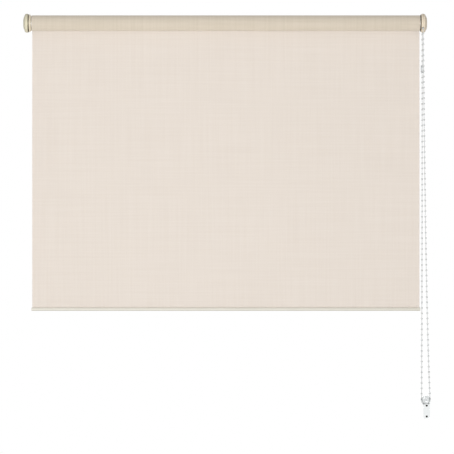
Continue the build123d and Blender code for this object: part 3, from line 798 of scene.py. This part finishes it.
# %% [markdown]
# ## Screws
# Two screws fix the holder and two fix each bracket. Their heads are spun from a short profile, and a cross
# for the driver is cut into each with a boolean, because a recess with square corners is quicker cut than
# built face by face.

# %% Screws
SCREW_STEPS = 24
CROSS_ARM = 0.62
CROSS_SLIT = 0.2
CROSS_DEPTH = 0.75
CROSS_TURN = radians(35)


def screw(name, place, head_radius, head_height, sink, shank_radius, reach):
    """A screw with a domed head. place is the centre of the head's underside, and it points to +Y."""
    bm = bmesh.new()
    profile = [(0, -head_height), (0.55, -head_height * 0.92), (0.86, -head_height * 0.6), (1.0, 0)]
    outline = [(r * head_radius, y) for r, y in profile]
    outline += [(shank_radius, sink), (shank_radius, reach), (0, reach)]
    verts = [bm.verts.new((r, y, 0)) for r, y in outline]
    for a, b in zip(verts, verts[1:]):
        bm.edges.new((a, b))
    bmesh.ops.spin(
        bm,
        geom=bm.verts[:] + bm.edges[:],
        cent=(0, 0, 0),
        axis=(0, 1, 0),
        angle=tau,
        steps=SCREW_STEPS,
        use_merge=True,
    )
    bmesh.ops.remove_doubles(bm, verts=bm.verts[:], dist=MERGE_DISTANCE)
    bmesh.ops.recalc_face_normals(bm, faces=bm.faces[:])
    bmesh.ops.translate(bm, verts=bm.verts[:], vec=place)
    body = make_piece(name, bm, screw_steel)
    cutter_bm = bmesh.new()
    arm = CROSS_ARM * head_radius
    slit = CROSS_SLIT * head_radius
    depth = CROSS_DEPTH * head_height
    turned = Matrix.Rotation(CROSS_TURN, 3, "Y")
    for wide, high in ((arm, slit), (slit, arm)):
        made = bmesh.ops.create_cube(cutter_bm, size=2.0)["verts"]
        bmesh.ops.scale(cutter_bm, verts=made, vec=(wide, depth, high))
        bmesh.ops.rotate(cutter_bm, verts=made, cent=(0, 0, 0), matrix=turned)
        bmesh.ops.translate(cutter_bm, verts=made, vec=place + Vector((0, -head_height, 0)))
    cutter = make_piece(name + "_cross", cutter_bm, screw_steel)
    cut = body.modifiers.new("cross", "BOOLEAN")
    cut.object = cutter
    cut.operation = "DIFFERENCE"
    cut.solver = "EXACT"
    cut.use_self = True
    settle(body)
    bpy.data.objects.remove(cutter)
    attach(body, "mounting")


BRACKET_ACROSS = 424 * MM
BRACKET_LEVEL = 8.5 * MM
BRACKET_GAUGE = 1.5 * MM
for side, x in (("left", -BRACKET_ACROSS), ("right", BRACKET_ACROSS)):
    for level, z in (("upper", BRACKET_LEVEL), ("lower", -BRACKET_LEVEL)):
        screw(
            f"{side}_bracket_screw_{level}",
            Vector((x, -BRACKET_GAUGE, z)),
            head_radius=3.8 * MM,
            head_height=2.0 * MM,
            sink=0.05 * MM,
            shank_radius=1.9 * MM,
            reach=BRACKET_GAUGE,
        )

HOLDER_ASIDE = 2.5 * MM
HOLDER_GAUGE = 3.0 * MM
for level, drop in (("upper", 12.4 * MM), ("lower", 36.8 * MM)):
    screw(
        f"holder_screw_{level}",
        Vector((drum_x + HOLDER_ASIDE, -HOLDER_GAUGE, drum_z - drop)),
        head_radius=2.4 * MM,
        head_height=0.5 * MM,
        sink=0.8 * MM,
        shank_radius=1.5 * MM,
        reach=HOLDER_GAUGE,
    )

# %% [markdown]
# ## Stage, light and camera
# A pale floor lies well below the blind, which hangs on its wall. The world shows white to the camera and to
# mirrors and glass, but lights the object only softly. One wide lamp in front gives the roll its gentle
# fall-off towards the top, and a weaker one fills from behind, so that the cloth glows a little.

# %% Floor
FLOOR_HALF = 3.0
FLOOR_LEVEL = -1.75
floor_bm = bmesh.new()
bmesh.ops.create_grid(floor_bm, x_segments=1, y_segments=1, size=FLOOR_HALF)
bmesh.ops.translate(floor_bm, verts=floor_bm.verts[:], vec=(0, 0, FLOOR_LEVEL))
floor_paint, floor_tree = new_material("pale_floor_paint")
floor_shader = add_node(
    floor_tree, "ShaderNodeBsdfPrincipled", {"Base Color": linear("#f1f0ee"), "Roughness": 0.8}
)
close_material(floor_tree, floor_shader.outputs["BSDF"])
make_piece("floor", floor_bm, floor_paint)

# %% World
AMBIENT = 0.32
world = bpy.data.worlds.new("studio")
bpy.context.scene.world = world
world.use_nodes = True
world.node_tree.nodes.clear()
sky = world.node_tree
path = add_node(sky, "ShaderNodeLightPath").outputs
seen = add_node(
    sky, "ShaderNodeMath", {0: path["Is Camera Ray"], 1: path["Is Glossy Ray"]}, operation="MAXIMUM"
)
clear = add_node(
    sky, "ShaderNodeMath", {0: seen.outputs[0], 1: path["Is Transmission Ray"]}, operation="MAXIMUM"
)
level = add_node(sky, "ShaderNodeMapRange", {"Value": clear.outputs[0], "To Min": AMBIENT, "To Max": 1.0})
glow = add_node(
    sky, "ShaderNodeBackground", {"Color": (1, 1, 1, 1), "Strength": level.outputs["Result"]}
)
add_node(sky, "ShaderNodeOutputWorld", {"Surface": glow.outputs["Background"]})

# %% Lamps
def soft_lamp(name, place, target, width, height, power):
    """A rectangular area lamp that points at a target."""
    data = bpy.data.lights.new(name, "AREA")
    data.shape = "RECTANGLE"
    data.size = width
    data.size_y = height
    data.energy = power
    lamp = bpy.data.objects.new(name, data)
    lamp.location = place
    lamp.rotation_euler = (Vector(target) - Vector(place)).to_track_quat("-Z", "Y").to_euler()
    bpy.context.scene.collection.objects.link(lamp)


middle = (0, axis_y, -0.4)
soft_lamp("front_softbox", (-0.4, -3.6, -0.3), middle, width=2.2, height=0.7, power=90)
soft_lamp("back_softbox", (0.6, 3.0, 0.4), middle, width=2.5, height=2.5, power=34)

# %% Camera
FRAME_PIXELS = 454
PIXEL_SIZE = 2.2317 * MM
CAMERA_BACK = 7.0
CAMERA_ASIDE = 4.2 * MM
CAMERA_LEVEL = -454.8 * MM
SENSOR = 36.0
camera_data = bpy.data.cameras.new("camera")
camera_data.sensor_width = SENSOR
camera_data.lens = SENSOR * CAMERA_BACK / (FRAME_PIXELS * PIXEL_SIZE)
camera = bpy.data.objects.new("camera", camera_data)
camera.location = (CAMERA_ASIDE, axis_y - CAMERA_BACK, CAMERA_LEVEL)
camera.rotation_euler = (radians(90), 0, 0)
bpy.context.scene.collection.objects.link(camera)
bpy.context.scene.camera = camera
bpy.context.scene.view_settings.view_transform = "Standard"
